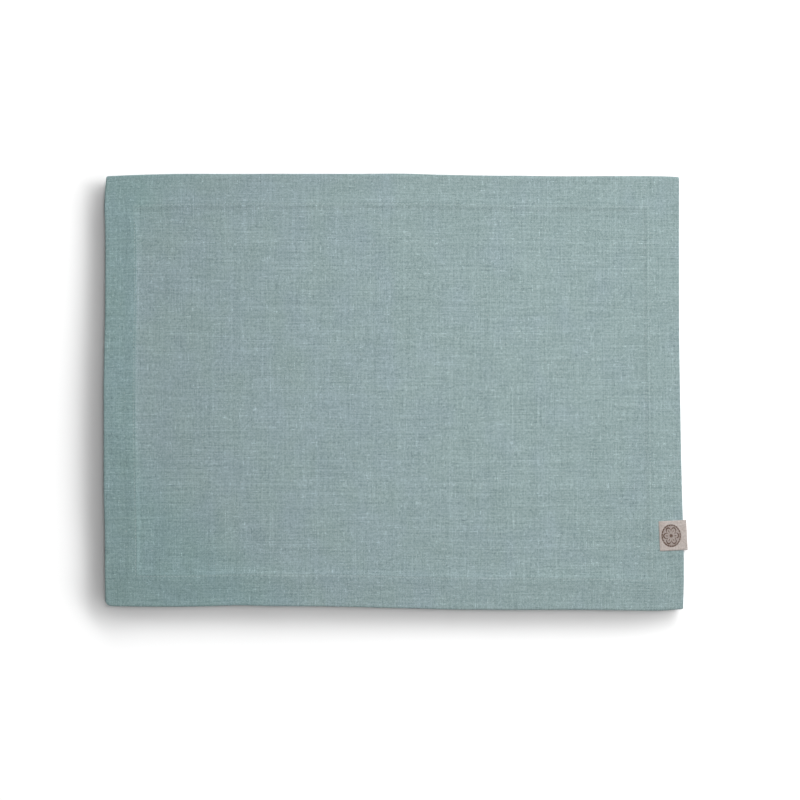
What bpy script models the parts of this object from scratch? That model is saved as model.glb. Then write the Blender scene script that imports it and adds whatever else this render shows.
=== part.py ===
"""Linen placemat, lying flat, with a wide turned hem and a tape label folded over its right edge.

Metres, +Z up. +X runs along the long side and +Y along the short one, away from the diner. The origin is
the centre of the footprint, on the surface that the mat lies on.
"""

import math
from typing import NamedTuple

import bmesh
import bpy
from mathutils import Matrix, Vector

MM = 0.001

# Cloth
MAT_LENGTH = 0.500  # along X, edge to edge
MAT_DEPTH = 0.3767  # along Y, edge to edge
FIELD_THICK = 0.0011  # one layer, inside the hem
EDGE_FADE = 0.120  # an edge's wander has died out this far in

# Corners
CORNER_RADIUS = 0.0018
WORN_CORNER_RADIUS = 0.0052  # the left corner nearest the diner is rounder

# Label tape
TAPE_WIDTH = 0.0260  # along the mat's edge
TAPE_THICK = 0.0010
LABEL_REACH = 0.0243  # from the fold's outer face to the tape's sewn end
LABEL_CENTRE = Vector((0.2431, -0.1245))  # of the part seen from above, from the mat's middle
LABEL_TURN = math.radians(2.7)
CLEARANCE = 0.0003  # between the tape and the cloth
BEND_STEPS = 8

# Cloth over the label's lower leg
LABEL_LIFT = TAPE_THICK + CLEARANCE
LIFT_HALF_FLAT = 0.0147  # along the edge, either side of the label's middle
LIFT_RAMP = 0.024  # along the edge, from full lift to none
LIFT_RAMP_STEPS = 3
LIFT_INWARD_FULL = 0.0256  # from the mat's edge, the cloth is still at full lift here
LIFT_INWARD_END = 0.044  # and here the lift has died out

LINEN_COLOUR = (0.325, 0.430, 0.440, 1.0)
TAPE_COLOUR = (0.560, 0.480, 0.440, 1.0)


class Station(NamedTuple):
    """One stop on the way in from an edge, in mm: how far in, and how thick the cloth is there."""

    inset: float
    thick: float


class Wander(NamedTuple):
    """One point of an edge, in mm: the way along it, and how far it lies outside its straight line."""

    along: float
    out: float


class Rise(NamedTuple):
    """One point of an edge, in mm: the way along it, and how high it stands off the surface."""

    along: float
    height: float


# The hem: a soft roll at the fold, two layers, then the turned-in layer and its ridge, and the field.
HEM_SECTION = (
    Station(inset=0.0, thick=1.50),
    Station(inset=1.0, thick=1.78),
    Station(inset=2.6, thick=1.80),
    Station(inset=5.5, thick=1.60),
    Station(inset=20.0, thick=1.60),
    Station(inset=25.6, thick=1.78),
    Station(inset=27.2, thick=1.85),
    Station(inset=28.8, thick=1.45),
    Station(inset=31.2, thick=FIELD_THICK / MM),
)

# Along X from the left end.
FAR_EDGE = (
    Wander(along=0, out=-1.3),
    Wander(along=13, out=-0.65),
    Wander(along=48, out=0.6),
    Wander(along=83, out=0.95),
    Wander(along=118, out=0.8),
    Wander(along=152, out=0.95),
    Wander(along=222, out=0.9),
    Wander(along=256, out=1.15),
    Wander(along=291, out=0.2),
    Wander(along=326, out=-0.5),
    Wander(along=361, out=-0.75),
    Wander(along=395, out=-1.15),
    Wander(along=430, out=-1.05),
    Wander(along=482, out=-1.1),
    Wander(along=500, out=-1.8),
)
NEAR_EDGE = (
    Wander(along=0, out=-2.9),
    Wander(along=38, out=-2.35),
    Wander(along=64, out=-2.3),
    Wander(along=90, out=-2.75),
    Wander(along=116, out=-3.45),
    Wander(along=142, out=-2.9),
    Wander(along=194, out=-2.55),
    Wander(along=220, out=-2.0),
    Wander(along=246, out=-1.2),
    Wander(along=272, out=-0.7),
    Wander(along=298, out=0.1),
    Wander(along=324, out=0.3),
    Wander(along=350, out=0.5),
    Wander(along=402, out=0.4),
    Wander(along=428, out=0.55),
    Wander(along=480, out=1.1),
    Wander(along=500, out=-0.2),
)

# Along Y from the end nearest the diner.
LEFT_EDGE = (
    Wander(along=0, out=-0.6),
    Wander(along=34, out=-0.15),
    Wander(along=60, out=-0.1),
    Wander(along=80, out=0.25),
    Wander(along=104, out=0.8),
    Wander(along=175, out=0.85),
    Wander(along=191, out=0.95),
    Wander(along=208, out=0.65),
    Wander(along=225, out=0.35),
    Wander(along=243, out=0.0),
    Wander(along=260, out=-0.35),
    Wander(along=330, out=-0.45),
    Wander(along=348, out=0.25),
    Wander(along=364, out=-0.3),
    Wander(along=377, out=-1.6),
)
RIGHT_EDGE = (
    Wander(along=0, out=1.6),
    Wander(along=33, out=2.4),
    Wander(along=87, out=1.1),
    Wander(along=134, out=0.0),
    Wander(along=186, out=-0.9),
    Wander(along=240, out=-1.7),
    Wander(along=377, out=-1.8),
)

# Where the left edge (along Y) and the near edge (along X) stand off the surface.
RISE_INWARD = 0.050  # from the edge to where its rise has died out
RISE_LIMIT = 0.0016  # two edges' rises together never pass this
LEFT_RISE = (
    Rise(along=0, height=0.9),
    Rise(along=70, height=1.25),
    Rise(along=120, height=1.45),
    Rise(along=200, height=1.45),
    Rise(along=290, height=1.2),
    Rise(along=345, height=1.0),
    Rise(along=377, height=0.95),
)
NEAR_RISE = (
    Rise(along=0, height=0.9),
    Rise(along=90, height=1.05),
    Rise(along=130, height=1.2),
    Rise(along=220, height=1.2),
    Rise(along=300, height=1.05),
    Rise(along=380, height=1.15),
    Rise(along=460, height=1.1),
    Rise(along=500, height=0.6),
)

# The rolled wall of the folded edge: share of the wall's height, and how far in it lies there.
WALL_SECTION = ((0.0, 0.55 * MM), (0.33, 0.0), (0.70, 0.0), (1.0, 0.35 * MM))

# Cuts across the field, spaced for the edges' wander: the first ones at these shares of EDGE_FADE.
FADE_CUTS = (0.45, 0.72, 1.0)
FIELD_CUTS_X = 9
FIELD_CUTS_Y = 4


def smooth(share):
    """A soft ramp from 0 to 1."""
    share = min(max(share, 0.0), 1.0)
    return share * share * (3.0 - 2.0 * share)


def curve_at(rows, along):
    """The distance at a place along an edge, on a smooth curve through its rows of (along, distance)."""
    place = min(max(along / MM, rows[0][0]), rows[-1][0])
    index = max(i for i in range(len(rows) - 1) if rows[i][0] <= place)
    before, here = rows[max(index - 1, 0)], rows[index]
    after, later = rows[index + 1], rows[min(index + 2, len(rows) - 1)]
    span = after[0] - here[0]
    share = (place - here[0]) / span
    slope_here = (after[1] - before[1]) / (after[0] - before[0]) * span
    slope_after = (later[1] - here[1]) / (later[0] - here[0]) * span
    bend = smooth(share)
    leave = share * (1.0 - share) ** 2
    arrive = share * share * (share - 1.0)
    return (here[1] + bend * (after[1] - here[1]) + leave * slope_here + arrive * slope_after) * MM


def thickness(inset):
    """The cloth's thickness that far in from the nearest edge."""
    place = inset / MM
    for here, after in zip(HEM_SECTION, HEM_SECTION[1:]):
        if place <= after.inset:
            share = (place - here.inset) / (after.inset - here.inset)
            return (here.thick + share * (after.thick - here.thick)) * MM
    return FIELD_THICK


def rise_at(rows, along, inset):
    """How far an edge's rise lifts the cloth at a place."""
    return curve_at(rows, along) * (1.0 - smooth(inset / RISE_INWARD))


def underside(x, y):
    """The height of the cloth's lower face over the surface, at a place measured from the mat's middle."""
    along_x, along_y = x + MAT_LENGTH / 2, y + MAT_DEPTH / 2
    left, near = rise_at(LEFT_RISE, along_y, along_x), rise_at(NEAR_RISE, along_x, along_y)
    edges = left + near - left * near / RISE_LIMIT
    beside = (abs(y - LABEL_CENTRE.y) - LIFT_HALF_FLAT) / LIFT_RAMP
    inset = MAT_LENGTH / 2 - x
    inward = (inset - LIFT_INWARD_FULL) / (LIFT_INWARD_END - LIFT_INWARD_FULL)
    label = LABEL_LIFT * (1.0 - smooth(beside)) * (1.0 - smooth(inward))
    return max(edges, label)


def rounded(inset_x, inset_y, radius):
    """Turns the square corner of that size into a round one, and returns the new insets."""
    if inset_x >= radius or inset_y >= radius:
        return inset_x, inset_y
    reach_x, reach_y = 1.0 - inset_x / radius, 1.0 - inset_y / radius
    round_x = reach_x * math.sqrt(1.0 - reach_y * reach_y / 2.0)
    round_y = reach_y * math.sqrt(1.0 - reach_x * reach_x / 2.0)
    return radius * (1.0 - round_x), radius * (1.0 - round_y)


def wall_inset(level):
    """How far in the folded edge's wall lies at that share of its height."""
    return min(WALL_SECTION, key=lambda row: abs(row[0] - level))[1]


def place_on_mat(x, y, level):
    """Where a point of the plain slab goes: level is 0 on its lower face and 1 on its upper one."""
    half_x, half_y = MAT_LENGTH / 2, MAT_DEPTH / 2
    side_x, side_y = math.copysign(1.0, x), math.copysign(1.0, y)
    inset_x, inset_y = half_x - abs(x), half_y - abs(y)
    near_left = side_x < 0 and side_y < 0
    radius = WORN_CORNER_RADIUS if near_left else CORNER_RADIUS
    round_x, round_y = rounded(inset_x, inset_y, radius)
    if inset_x < MM / 2:
        round_x += wall_inset(level)
    if inset_y < MM / 2:
        round_y += wall_inset(level)
    out_x = curve_at(RIGHT_EDGE if side_x > 0 else LEFT_EDGE, y + half_y)
    out_y = curve_at(FAR_EDGE if side_y > 0 else NEAR_EDGE, x + half_x)
    out_x *= 1.0 - smooth(inset_x / EDGE_FADE)
    out_y *= 1.0 - smooth(inset_y / EDGE_FADE)
    height = underside(x, y) + level * thickness(min(inset_x, inset_y))
    return Vector((side_x * (half_x - round_x + out_x), side_y * (half_y - round_y + out_y), height))


def cut_places(half, field_cuts, extra):
    """Where the slab is cut across one axis: the hem's stations at both ends, and places between."""
    hem = [half - row.inset * MM for row in HEM_SECTION[1:]]
    field = [half - EDGE_FADE * share for share in FADE_CUTS]
    ends = hem + field
    inner = ends[-1]
    between = [inner * (2.0 * i / (field_cuts + 1) - 1.0) for i in range(1, field_cuts + 1)]
    places = sorted(ends + [-place for place in ends] + between + extra)
    kept = places[:1]
    for place in places[1:]:
        if place - kept[-1] > MM / 2:
            kept.append(place)
    return kept


def label_cuts():
    """Cuts across Y that follow the cloth's ramp up over the label's lower leg."""
    steps = [LIFT_HALF_FLAT + LIFT_RAMP * i / LIFT_RAMP_STEPS for i in range(LIFT_RAMP_STEPS + 1)]
    return [LABEL_CENTRE.y + side * step for side in (-1, 1) for step in steps]


def cut(shape, place, normal):
    """One straight cut through every face of the slab."""
    geometry = shape.verts[:] + shape.edges[:] + shape.faces[:]
    bmesh.ops.bisect_plane(shape, geom=geometry, plane_co=place, plane_no=normal, dist=1e-7)


def fabric_material(name, colour, roughness):
    """A plain cloth finish."""
    material = bpy.data.materials.new(name)
    material.use_nodes = True
    shader = material.node_tree.nodes["Principled BSDF"]
    shader.inputs["Base Color"].default_value = colour
    shader.inputs["Roughness"].default_value = roughness
    shader.inputs["Metallic"].default_value = 0.0
    return material


def add_object(name, mesh, collection):
    """Links a mesh under the piece's name."""
    piece = bpy.data.objects.new(name, mesh)
    collection.objects.link(piece)
    return piece


def build_mat(collection):
    """The cloth: a slab cut along the hem's stations, then shaped."""
    shape = bmesh.new()
    bmesh.ops.create_cube(shape, size=1.0)
    bmesh.ops.translate(shape, verts=shape.verts, vec=(0.0, 0.0, 0.5))
    bmesh.ops.scale(shape, verts=shape.verts, vec=(MAT_LENGTH, MAT_DEPTH, 1.0))
    for x in cut_places(MAT_LENGTH / 2, FIELD_CUTS_X, []):
        cut(shape, (x, 0.0, 0.0), (1.0, 0.0, 0.0))
    for y in cut_places(MAT_DEPTH / 2, FIELD_CUTS_Y, label_cuts()):
        cut(shape, (0.0, y, 0.0), (0.0, 1.0, 0.0))
    for level, _ in WALL_SECTION[1:-1]:
        cut(shape, (0.0, 0.0, level), (0.0, 0.0, 1.0))
    for vertex in shape.verts:
        vertex.co = place_on_mat(*vertex.co)
    mesh = bpy.data.meshes.new("mat")
    shape.to_mesh(mesh)
    shape.free()
    mesh.materials.append(fabric_material("linen", LINEN_COLOUR, 0.9))
    mesh.shade_smooth()
    mesh.set_sharp_from_angle(angle=math.radians(50))
    return add_object("mat", mesh, collection)


def extrude_row(shape, row, step):
    """Draws the tape's leading edge on by one step, and returns the new leading edge."""
    made = bmesh.ops.extrude_edge_only(shape, edges=row)["geom"]
    points = [item for item in made if isinstance(item, bmesh.types.BMVert)]
    bmesh.ops.translate(shape, verts=points, vec=step)
    return [edge for edge in made if isinstance(edge, bmesh.types.BMEdge) and set(edge.verts) <= set(points)]


def build_label(collection):
    """The tape: an upper leg, a round fold just past the mat's edge, and a lower leg on the surface."""
    lower = TAPE_THICK / 2
    cloth_thick = max(row.thick for row in HEM_SECTION if row.inset * MM < LABEL_REACH) * MM
    upper = LABEL_LIFT + cloth_thick + CLEARANCE + TAPE_THICK / 2
    bend_radius = (upper - lower) / 2
    leg = LABEL_REACH - TAPE_THICK / 2 - bend_radius
    shape = bmesh.new()
    sewn_end = [
        shape.verts.new((-LABEL_REACH / 2, side * TAPE_WIDTH / 2, upper)) for side in (-1, 1)
    ]
    row = [shape.edges.new(sewn_end)]
    row = extrude_row(shape, row, (leg, 0.0, 0.0))
    bend_centre = (leg - LABEL_REACH / 2, 0.0, (upper + lower) / 2)
    spun = bmesh.ops.spin(
        shape, geom=row, cent=bend_centre, axis=(0.0, 1.0, 0.0), angle=math.pi, steps=BEND_STEPS
    )["geom_last"]
    row = [item for item in spun if isinstance(item, bmesh.types.BMEdge)]
    extrude_row(shape, row, (-leg, 0.0, 0.0))
    bmesh.ops.recalc_face_normals(shape, faces=shape.faces)
    bmesh.ops.transform(shape, matrix=Matrix.Rotation(LABEL_TURN, 4, "Z"), verts=shape.verts)
    bmesh.ops.translate(shape, verts=shape.verts, vec=(LABEL_CENTRE.x, LABEL_CENTRE.y, 0.0))
    mesh = bpy.data.meshes.new("label")
    shape.to_mesh(mesh)
    shape.free()
    mesh.materials.append(fabric_material("label_tape", TAPE_COLOUR, 0.85))
    piece = add_object("label", mesh, collection)
    wall = piece.modifiers.new("tape thickness", "SOLIDIFY")
    wall.thickness = TAPE_THICK
    wall.offset = 0.0
    return piece


def centre_footprint(pieces):
    """Moves the meshes so that the origin is the middle of the whole footprint."""
    bpy.context.view_layer.update()
    depsgraph = bpy.context.evaluated_depsgraph_get()
    points = [
        Vector(corner)
        for piece in pieces
        for corner in (vertex.co for vertex in piece.evaluated_get(depsgraph).data.vertices)
    ]
    low = Vector([min(point[axis] for point in points) for axis in range(3)])
    high = Vector([max(point[axis] for point in points) for axis in range(3)])
    middle = (low + high) / 2
    for piece in pieces:
        piece.data.transform(Matrix.Translation((-middle.x, -middle.y, 0.0)))


def main():
    for old in list(bpy.data.objects):
        bpy.data.objects.remove(old)
    collection = bpy.data.collections.new("placemat")
    bpy.context.scene.collection.children.link(collection)
    pieces = [build_mat(collection), build_label(collection)]
    centre_footprint(pieces)


main()
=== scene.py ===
"""The looks of a linen placemat: pressed plain-weave cloth with a wide turned hem, seen from straight above.

Metres, +Z up, +X along the long side, +Y away from the diner. The cloth and the tape label are shaped
here as real folded sheets, in the places that the frame's solids give them.
"""

import math
import random

import bmesh
import bpy
from mathutils import Matrix, Vector, noise


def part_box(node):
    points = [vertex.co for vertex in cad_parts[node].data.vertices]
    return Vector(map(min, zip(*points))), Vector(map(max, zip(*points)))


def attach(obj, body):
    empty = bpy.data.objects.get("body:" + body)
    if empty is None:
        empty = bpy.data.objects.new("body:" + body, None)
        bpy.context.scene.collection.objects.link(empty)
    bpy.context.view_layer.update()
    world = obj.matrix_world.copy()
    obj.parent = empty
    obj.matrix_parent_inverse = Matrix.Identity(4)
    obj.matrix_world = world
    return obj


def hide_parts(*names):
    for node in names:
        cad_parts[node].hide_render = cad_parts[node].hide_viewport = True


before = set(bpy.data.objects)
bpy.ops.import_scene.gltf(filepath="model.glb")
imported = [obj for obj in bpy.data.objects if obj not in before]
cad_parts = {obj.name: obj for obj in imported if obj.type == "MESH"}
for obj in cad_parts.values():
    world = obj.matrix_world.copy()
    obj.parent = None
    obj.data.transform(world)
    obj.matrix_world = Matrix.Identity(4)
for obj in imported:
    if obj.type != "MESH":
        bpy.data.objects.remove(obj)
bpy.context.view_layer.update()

MM = 0.001
NEARLY = 1e-6  # lengths that differ by less count as the same

# ---------------------------------------------------------------- sizes

# Cloth, as cut and folded
MAT_LENGTH = 0.500
MAT_DEPTH = 0.3767
CLOTH_THICK = 0.46 * MM
EDGE_FADE = 0.120  # an edge's wander has died out this far in
CORNER_RADIUS = 0.0010
WORN_CORNER_RADIUS = 0.0052
FIELD_CELL = 0.0070  # spacing of the cloth's cuts inside the hem
RIPPLE = 0.25 * MM  # slight unevenness of the pressed field
RIPPLES = 14.0  # to the metre
RIPPLE_START = (3.1, 7.7)  # where in the noise they are taken from

# Weave
WARP_PITCH = 0.66 * MM  # threads that run along Y
WEFT_PITCH = 0.68 * MM  # threads that run along X
THREAD_RISE = 0.14 * MM

# Label tape, folded over the right edge
TAPE_WIDTH = 0.0260
TAPE_THICK = 0.42 * MM
TAPE_REST = 0.10 * MM  # the tape's lower leg rides this high, on its stitches
TAPE_GAP = 0.10 * MM
TAPE_CURL = 0.25 * MM  # how far its free upper end stands off
TAPE_CURL_LENGTH = 0.004
TAPE_WAVE = 0.10 * MM  # slight unevenness of its upper leg
TAPE_WAVES = (170.0, 120.0)  # to the metre, along and across
TAPE_FRAY = 0.10 * MM  # how far its long sides stray
TAPE_FRAYS = 900.0  # to the metre
TAPE_CUTS = 66
TAPE_CUTS_ACROSS = 22
LABEL_REACH = 0.0243  # from the fold's outer face to the sewn end
LABEL_TURN = math.radians(2.7)

# Cloth over the label's lower leg
LABEL_LIFT = TAPE_REST + TAPE_THICK + TAPE_GAP
LIFT_HALF_FLAT = 0.0147
LIFT_RAMP = 0.024
LIFT_INWARD_FULL = 0.0256
LIFT_INWARD_END = 0.044

# Sewing
HEM_STITCH_INSET = 0.0268
HEM_STITCH_PITCH = 0.0030
TAPE_STITCH_INSET = 0.0017
TAPE_STITCH_PITCH = 0.0026
TAPE_STITCH_MARGIN = 0.6 * MM  # from a row's ends to the tape's sides
THREAD_WIDTH = 0.34 * MM
THREAD_HEIGHT = 0.24 * MM
STITCH_SHARE = (0.10, 0.88)  # where a stitch starts and ends within its pitch
STITCH_STRAY = 0.05 * MM
STITCH_SIDES = 6
STITCH_RINGS = 4

# Photograph
PIXEL = 0.8678 * MM  # one pixel of the photograph on the cloth
MAT_MIDDLE_PX = (392.5, 391.55)  # the mat's middle, from the first column and from the top row
FRAME_PX = 800
CAMERA_HEIGHT = 1.60  # over the cloth
CLOTH_TOP = 1.5 * MM


def in_metres(*rows):
    """Rows of two lengths, given in mm."""
    return tuple((first * MM, second * MM) for first, second in rows)


# The cloth's upper layer: the way in from the folded edge, and the height of the cloth's middle.
UPPER_SECTION = in_metres(
    (0.0, 0.66),
    (0.3, 0.98),
    (0.8, 1.19),
    (1.6, 1.25),
    (2.8, 1.18),
    (5.0, 1.00),
    (8.0, 0.95),
    (13.0, 0.97),
    (18.0, 1.03),
    (19.6, 1.15),
    (21.0, 1.30),
    (23.0, 1.34),
    (25.4, 1.37),
    (26.2, 1.35),
    (26.8, 1.32),
    (27.4, 1.40),
    (27.9, 1.43),
    (28.6, 1.30),
    (29.4, 0.97),
    (30.3, 0.64),
    (31.4, 0.41),
    (33.2, 0.28),
    (38.0, 0.24),
    (44.0, 0.23),
)

# The part turned to the underside: in to the hem's inner fold, then the raw edge turned back between.
TURNED_SECTION = in_metres(
    (0.18, 0.44),
    (0.6, 0.28),
    (1.6, 0.23),
    (9.0, 0.23),
    (17.0, 0.23),
    (25.8, 0.23),
    (26.8, 0.34),
    (27.4, 0.26),
    (27.9, 0.33),
    (28.2, 0.53),
    (27.9, 0.73),
    (26.8, 0.77),
    (24.0, 0.80),
    (20.8, 0.80),
)
INNER_FOLD = TURNED_SECTION[9][0]
MITRE_DIP = 0.10 * MM  # how far the mitred seams draw into the underside
MITRE_START = 0.002

# The wander of the four edges: the way along, from the left or from the diner's end, and how far out.
FAR_EDGE = in_metres(
    (0, -1.3), (13, -0.65), (48, 0.6), (83, 0.95), (118, 0.8), (152, 0.95), (222, 0.9), (256, 1.15),
    (291, 0.2), (326, -0.5), (361, -0.75), (395, -1.15), (430, -1.05), (482, -1.1), (500, -1.8),
)
NEAR_EDGE = in_metres(
    (0, -2.9), (38, -2.35), (64, -2.3), (90, -2.75), (116, -3.45), (142, -2.9), (194, -2.55), (220, -2.0),
    (246, -1.2), (272, -0.7), (298, 0.1), (324, 0.3), (350, 0.5), (402, 0.4), (428, 0.55), (480, 1.1),
    (500, -0.2),
)
LEFT_EDGE = in_metres(
    (0, -0.6), (34, -0.15), (60, -0.1), (80, 0.25), (104, 0.8), (175, 0.85), (191, 0.95), (208, 0.65),
    (225, 0.35), (243, 0.0), (260, -0.35), (330, -0.45), (348, 0.25), (364, -0.3), (377, -1.6),
)
RIGHT_EDGE = in_metres(
    (0, 1.6), (33, 2.4), (87, 1.1), (134, 0.0), (186, -0.9), (240, -1.7), (377, -1.8),
)

# How far in the hem's inner fold strays from its even width: the way along, and the distance.
FAR_HEM = in_metres((0, -0.3), (60, -0.4), (130, -1.1), (380, -1.1), (440, -0.5), (500, -0.4))
NEAR_HEM = in_metres(
    (0, -0.4), (110, -0.3), (170, 0.1), (240, 0.2), (280, -0.1), (321, 0.4), (362, 0.0), (401, -0.3),
    (450, -0.8), (500, -0.8),
)
LEFT_HEM = in_metres((0, -0.3), (100, -0.2), (142, -0.9), (185, -1.4), (272, -1.5), (315, -1.4), (377, -1.2))
RIGHT_HEM = in_metres(
    (0, 0.0), (40, 0.0), (94, 0.2), (123, 0.1), (203, -0.3), (290, -0.3), (327, 0.0), (377, 0.1),
)
# How much of that a place follows: its way in from the edge, and the share.
HEM_STRAY = ((0.010, 0.0), (0.024, 1.0), (0.031, 1.0), (0.052, 0.0))

# How far the left and the near edge stand off the surface: the way along, and the height.
LEFT_RISE = in_metres((0, 0.9), (70, 1.25), (120, 1.45), (200, 1.45), (290, 1.2), (345, 1.0), (377, 0.95))
NEAR_RISE = in_metres(
    (0, 0.9), (90, 1.05), (130, 1.2), (220, 1.2), (300, 1.05), (380, 1.15), (460, 1.1), (500, 0.6),
)
RISE_INWARD = 0.050  # from the edge to where the rise has died out
RISE_LIMIT = 1.6 * MM  # keeps the two edges' rises from adding up at their corner

# ---------------------------------------------------------------- places that the frame gives


def furthest(rows):
    """The greatest value in rows of (place, value)."""
    return max(value for _, value in rows)


MAT_LOW, MAT_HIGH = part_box("mat")
LABEL_LOW, LABEL_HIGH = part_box("label")
PLAN_LOW = Vector((-MAT_LENGTH / 2 - furthest(LEFT_EDGE), -MAT_DEPTH / 2 - furthest(NEAR_EDGE)))
PLAN_HIGH = Vector((MAT_LENGTH / 2 + furthest(RIGHT_EDGE), MAT_DEPTH / 2 + furthest(FAR_EDGE)))
MAT_SHIFT = ((MAT_LOW + MAT_HIGH).xy / 2 - (PLAN_LOW + PLAN_HIGH) / 2).to_3d()
LABEL_PLACE = ((LABEL_LOW + LABEL_HIGH) / 2 - MAT_SHIFT).xy.to_3d()  # from the mat's middle

# The folded tape's middle line: the heights of its legs, its bend, one leg's length, and the whole
EDGE_RIDGE = UPPER_SECTION[3][1]
TAPE_LOWER = TAPE_REST + TAPE_THICK / 2
TAPE_UPPER = LABEL_LIFT + EDGE_RIDGE + CLOTH_THICK / 2 + TAPE_GAP + TAPE_THICK / 2
TAPE_BEND = (TAPE_UPPER - TAPE_LOWER) / 2
TAPE_LEG = LABEL_REACH - TAPE_THICK / 2 - TAPE_BEND
TAPE_LENGTH = 2 * TAPE_LEG + math.pi * TAPE_BEND


# ---------------------------------------------------------------- the cloth's lie


def smooth(share):
    """A soft ramp from 0 to 1."""
    share = min(max(share, 0.0), 1.0)
    return share * share * (3.0 - 2.0 * share)


def curve_value(rows, place):
    """The value at a place, on a smooth curve through rows of (place, value)."""
    place = min(max(place, rows[0][0]), rows[-1][0])
    index = max(i for i in range(len(rows) - 1) if rows[i][0] <= place)
    before, here = rows[max(index - 1, 0)], rows[index]
    after, later = rows[index + 1], rows[min(index + 2, len(rows) - 1)]
    span = after[0] - here[0]
    share = (place - here[0]) / span
    slope_here = (after[1] - before[1]) / (after[0] - before[0]) * span
    slope_after = (later[1] - here[1]) / (later[0] - here[0]) * span
    leave = share * (1.0 - share) ** 2
    arrive = share * share * (share - 1.0)
    return here[1] + smooth(share) * (after[1] - here[1]) + leave * slope_here + arrive * slope_after


def line_value(rows, place):
    """The value at a place, on straight lines through rows of (place, value)."""
    for here, after in zip(rows, rows[1:]):
        if place <= after[0]:
            share = max(place - here[0], 0.0) / (after[0] - here[0])
            return here[1] + share * (after[1] - here[1])
    return rows[-1][1]


def rise_at(rows, along, inset):
    """How far an edge's rise lifts the cloth at a place."""
    return curve_value(rows, along) * (1.0 - smooth(inset / RISE_INWARD))


def lift(x, y):
    """How high the cloth lies over the surface, at a place measured from the mat's middle."""
    along_x, along_y = x + MAT_LENGTH / 2, y + MAT_DEPTH / 2
    left, near = rise_at(LEFT_RISE, along_y, along_x), rise_at(NEAR_RISE, along_x, along_y)
    edges = left + near - left * near / RISE_LIMIT
    beside = (abs(y - LABEL_PLACE.y) - LIFT_HALF_FLAT) / LIFT_RAMP
    inward = (MAT_LENGTH / 2 - x - LIFT_INWARD_FULL) / (LIFT_INWARD_END - LIFT_INWARD_FULL)
    label = LABEL_LIFT * (1.0 - smooth(beside)) * (1.0 - smooth(inward))
    place = Vector((x * RIPPLES + RIPPLE_START[0], y * RIPPLES + RIPPLE_START[1], 0.0))
    ripple = 0.5 + 0.5 * noise.noise(place)
    inner = min(MAT_LENGTH / 2 - abs(x), MAT_DEPTH / 2 - abs(y))
    return max(edges, label) + RIPPLE * ripple * smooth(inner / INNER_FOLD)


def rounded(inset_x, inset_y, radius):
    """Turns the square corner of that size into a round one, and returns the new insets."""
    if inset_x >= radius or inset_y >= radius:
        return inset_x, inset_y
    reach_x, reach_y = 1.0 - inset_x / radius, 1.0 - inset_y / radius
    round_x = reach_x * math.sqrt(1.0 - reach_y * reach_y / 2.0)
    round_y = reach_y * math.sqrt(1.0 - reach_x * reach_x / 2.0)
    return radius * (1.0 - round_x), radius * (1.0 - round_y)


def place_on_mat(x, y, height):
    """Moves a point of the straight, flat plan to where it lies in the real, uneven cloth."""
    half_x, half_y = MAT_LENGTH / 2, MAT_DEPTH / 2
    side_x, side_y = math.copysign(1.0, x), math.copysign(1.0, y)
    inset_x, inset_y = half_x - abs(x), half_y - abs(y)
    near_left = side_x < 0 and side_y < 0
    radius = WORN_CORNER_RADIUS if near_left else CORNER_RADIUS
    round_x, round_y = rounded(inset_x, inset_y, radius)
    out_x = curve_value(RIGHT_EDGE if side_x > 0 else LEFT_EDGE, y + half_y)
    out_y = curve_value(FAR_EDGE if side_y > 0 else NEAR_EDGE, x + half_x)
    out_x *= 1.0 - smooth(inset_x / EDGE_FADE)
    out_y *= 1.0 - smooth(inset_y / EDGE_FADE)
    hem_x = line_value(RIGHT_HEM if side_x > 0 else LEFT_HEM, y + half_y)
    hem_y = line_value(FAR_HEM if side_y > 0 else NEAR_HEM, x + half_x)
    out_x -= hem_x * line_value(HEM_STRAY, inset_x)
    out_y -= hem_y * line_value(HEM_STRAY, inset_y)
    flat = Vector((side_x * (half_x - round_x + out_x), side_y * (half_y - round_y + out_y)))
    return Vector((flat.x, flat.y, lift(x, y) + height)) + MAT_SHIFT


def upper_face(x, y):
    """A point on the cloth's upper face, at a place of the flat plan."""
    inset = min(MAT_LENGTH / 2 - abs(x), MAT_DEPTH / 2 - abs(y))
    return place_on_mat(x, y, line_value(UPPER_SECTION, inset) + CLOTH_THICK / 2)


# ---------------------------------------------------------------- pieces


def finished(name, shape, thickness=None):
    """Turns a bmesh into a piece, smooth shaded, with a sheet's thickness where it has one."""
    mesh = bpy.data.meshes.new(name)
    shape.to_mesh(mesh)
    shape.free()
    mesh.shade_smooth()
    piece = bpy.data.objects.new(name, mesh)
    bpy.context.scene.collection.objects.link(piece)
    if thickness:
        wall = piece.modifiers.new("thickness", "SOLIDIFY")
        wall.thickness = thickness
        wall.offset = 0.0
    return piece


def dressed(piece, node, material):
    """Hides the part that a piece stands in for, hangs the piece on the root body, and gives it its material.
    """
    piece.data.materials.append(material)
    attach(piece, "root")
    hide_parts(node)
    return piece


def flat_sheet(length, depth):
    """One flat quad of that size, ready to be cut."""
    shape = bmesh.new()
    bmesh.ops.create_grid(shape, x_segments=1, y_segments=1, size=0.5)
    bmesh.ops.scale(shape, verts=shape.verts, vec=(length, depth, 1.0))
    return shape


def cut(shape, place, normal):
    """One straight cut through every face."""
    geometry = shape.verts[:] + shape.edges[:] + shape.faces[:]
    bmesh.ops.bisect_plane(shape, geom=geometry, plane_co=place, plane_no=normal, dist=NEARLY / 10)


def cut_places(half):
    """Where the cloth is cut across one axis: at the section's rows near both edges, evenly between."""
    ends = [half - inset for inset, _ in UPPER_SECTION[1:]]
    inner = ends[-1]
    count = round(2 * inner / FIELD_CELL)
    between = [inner * (2.0 * i / count - 1.0) for i in range(1, count)]
    return sorted(ends + [-place for place in ends] + between)


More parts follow.
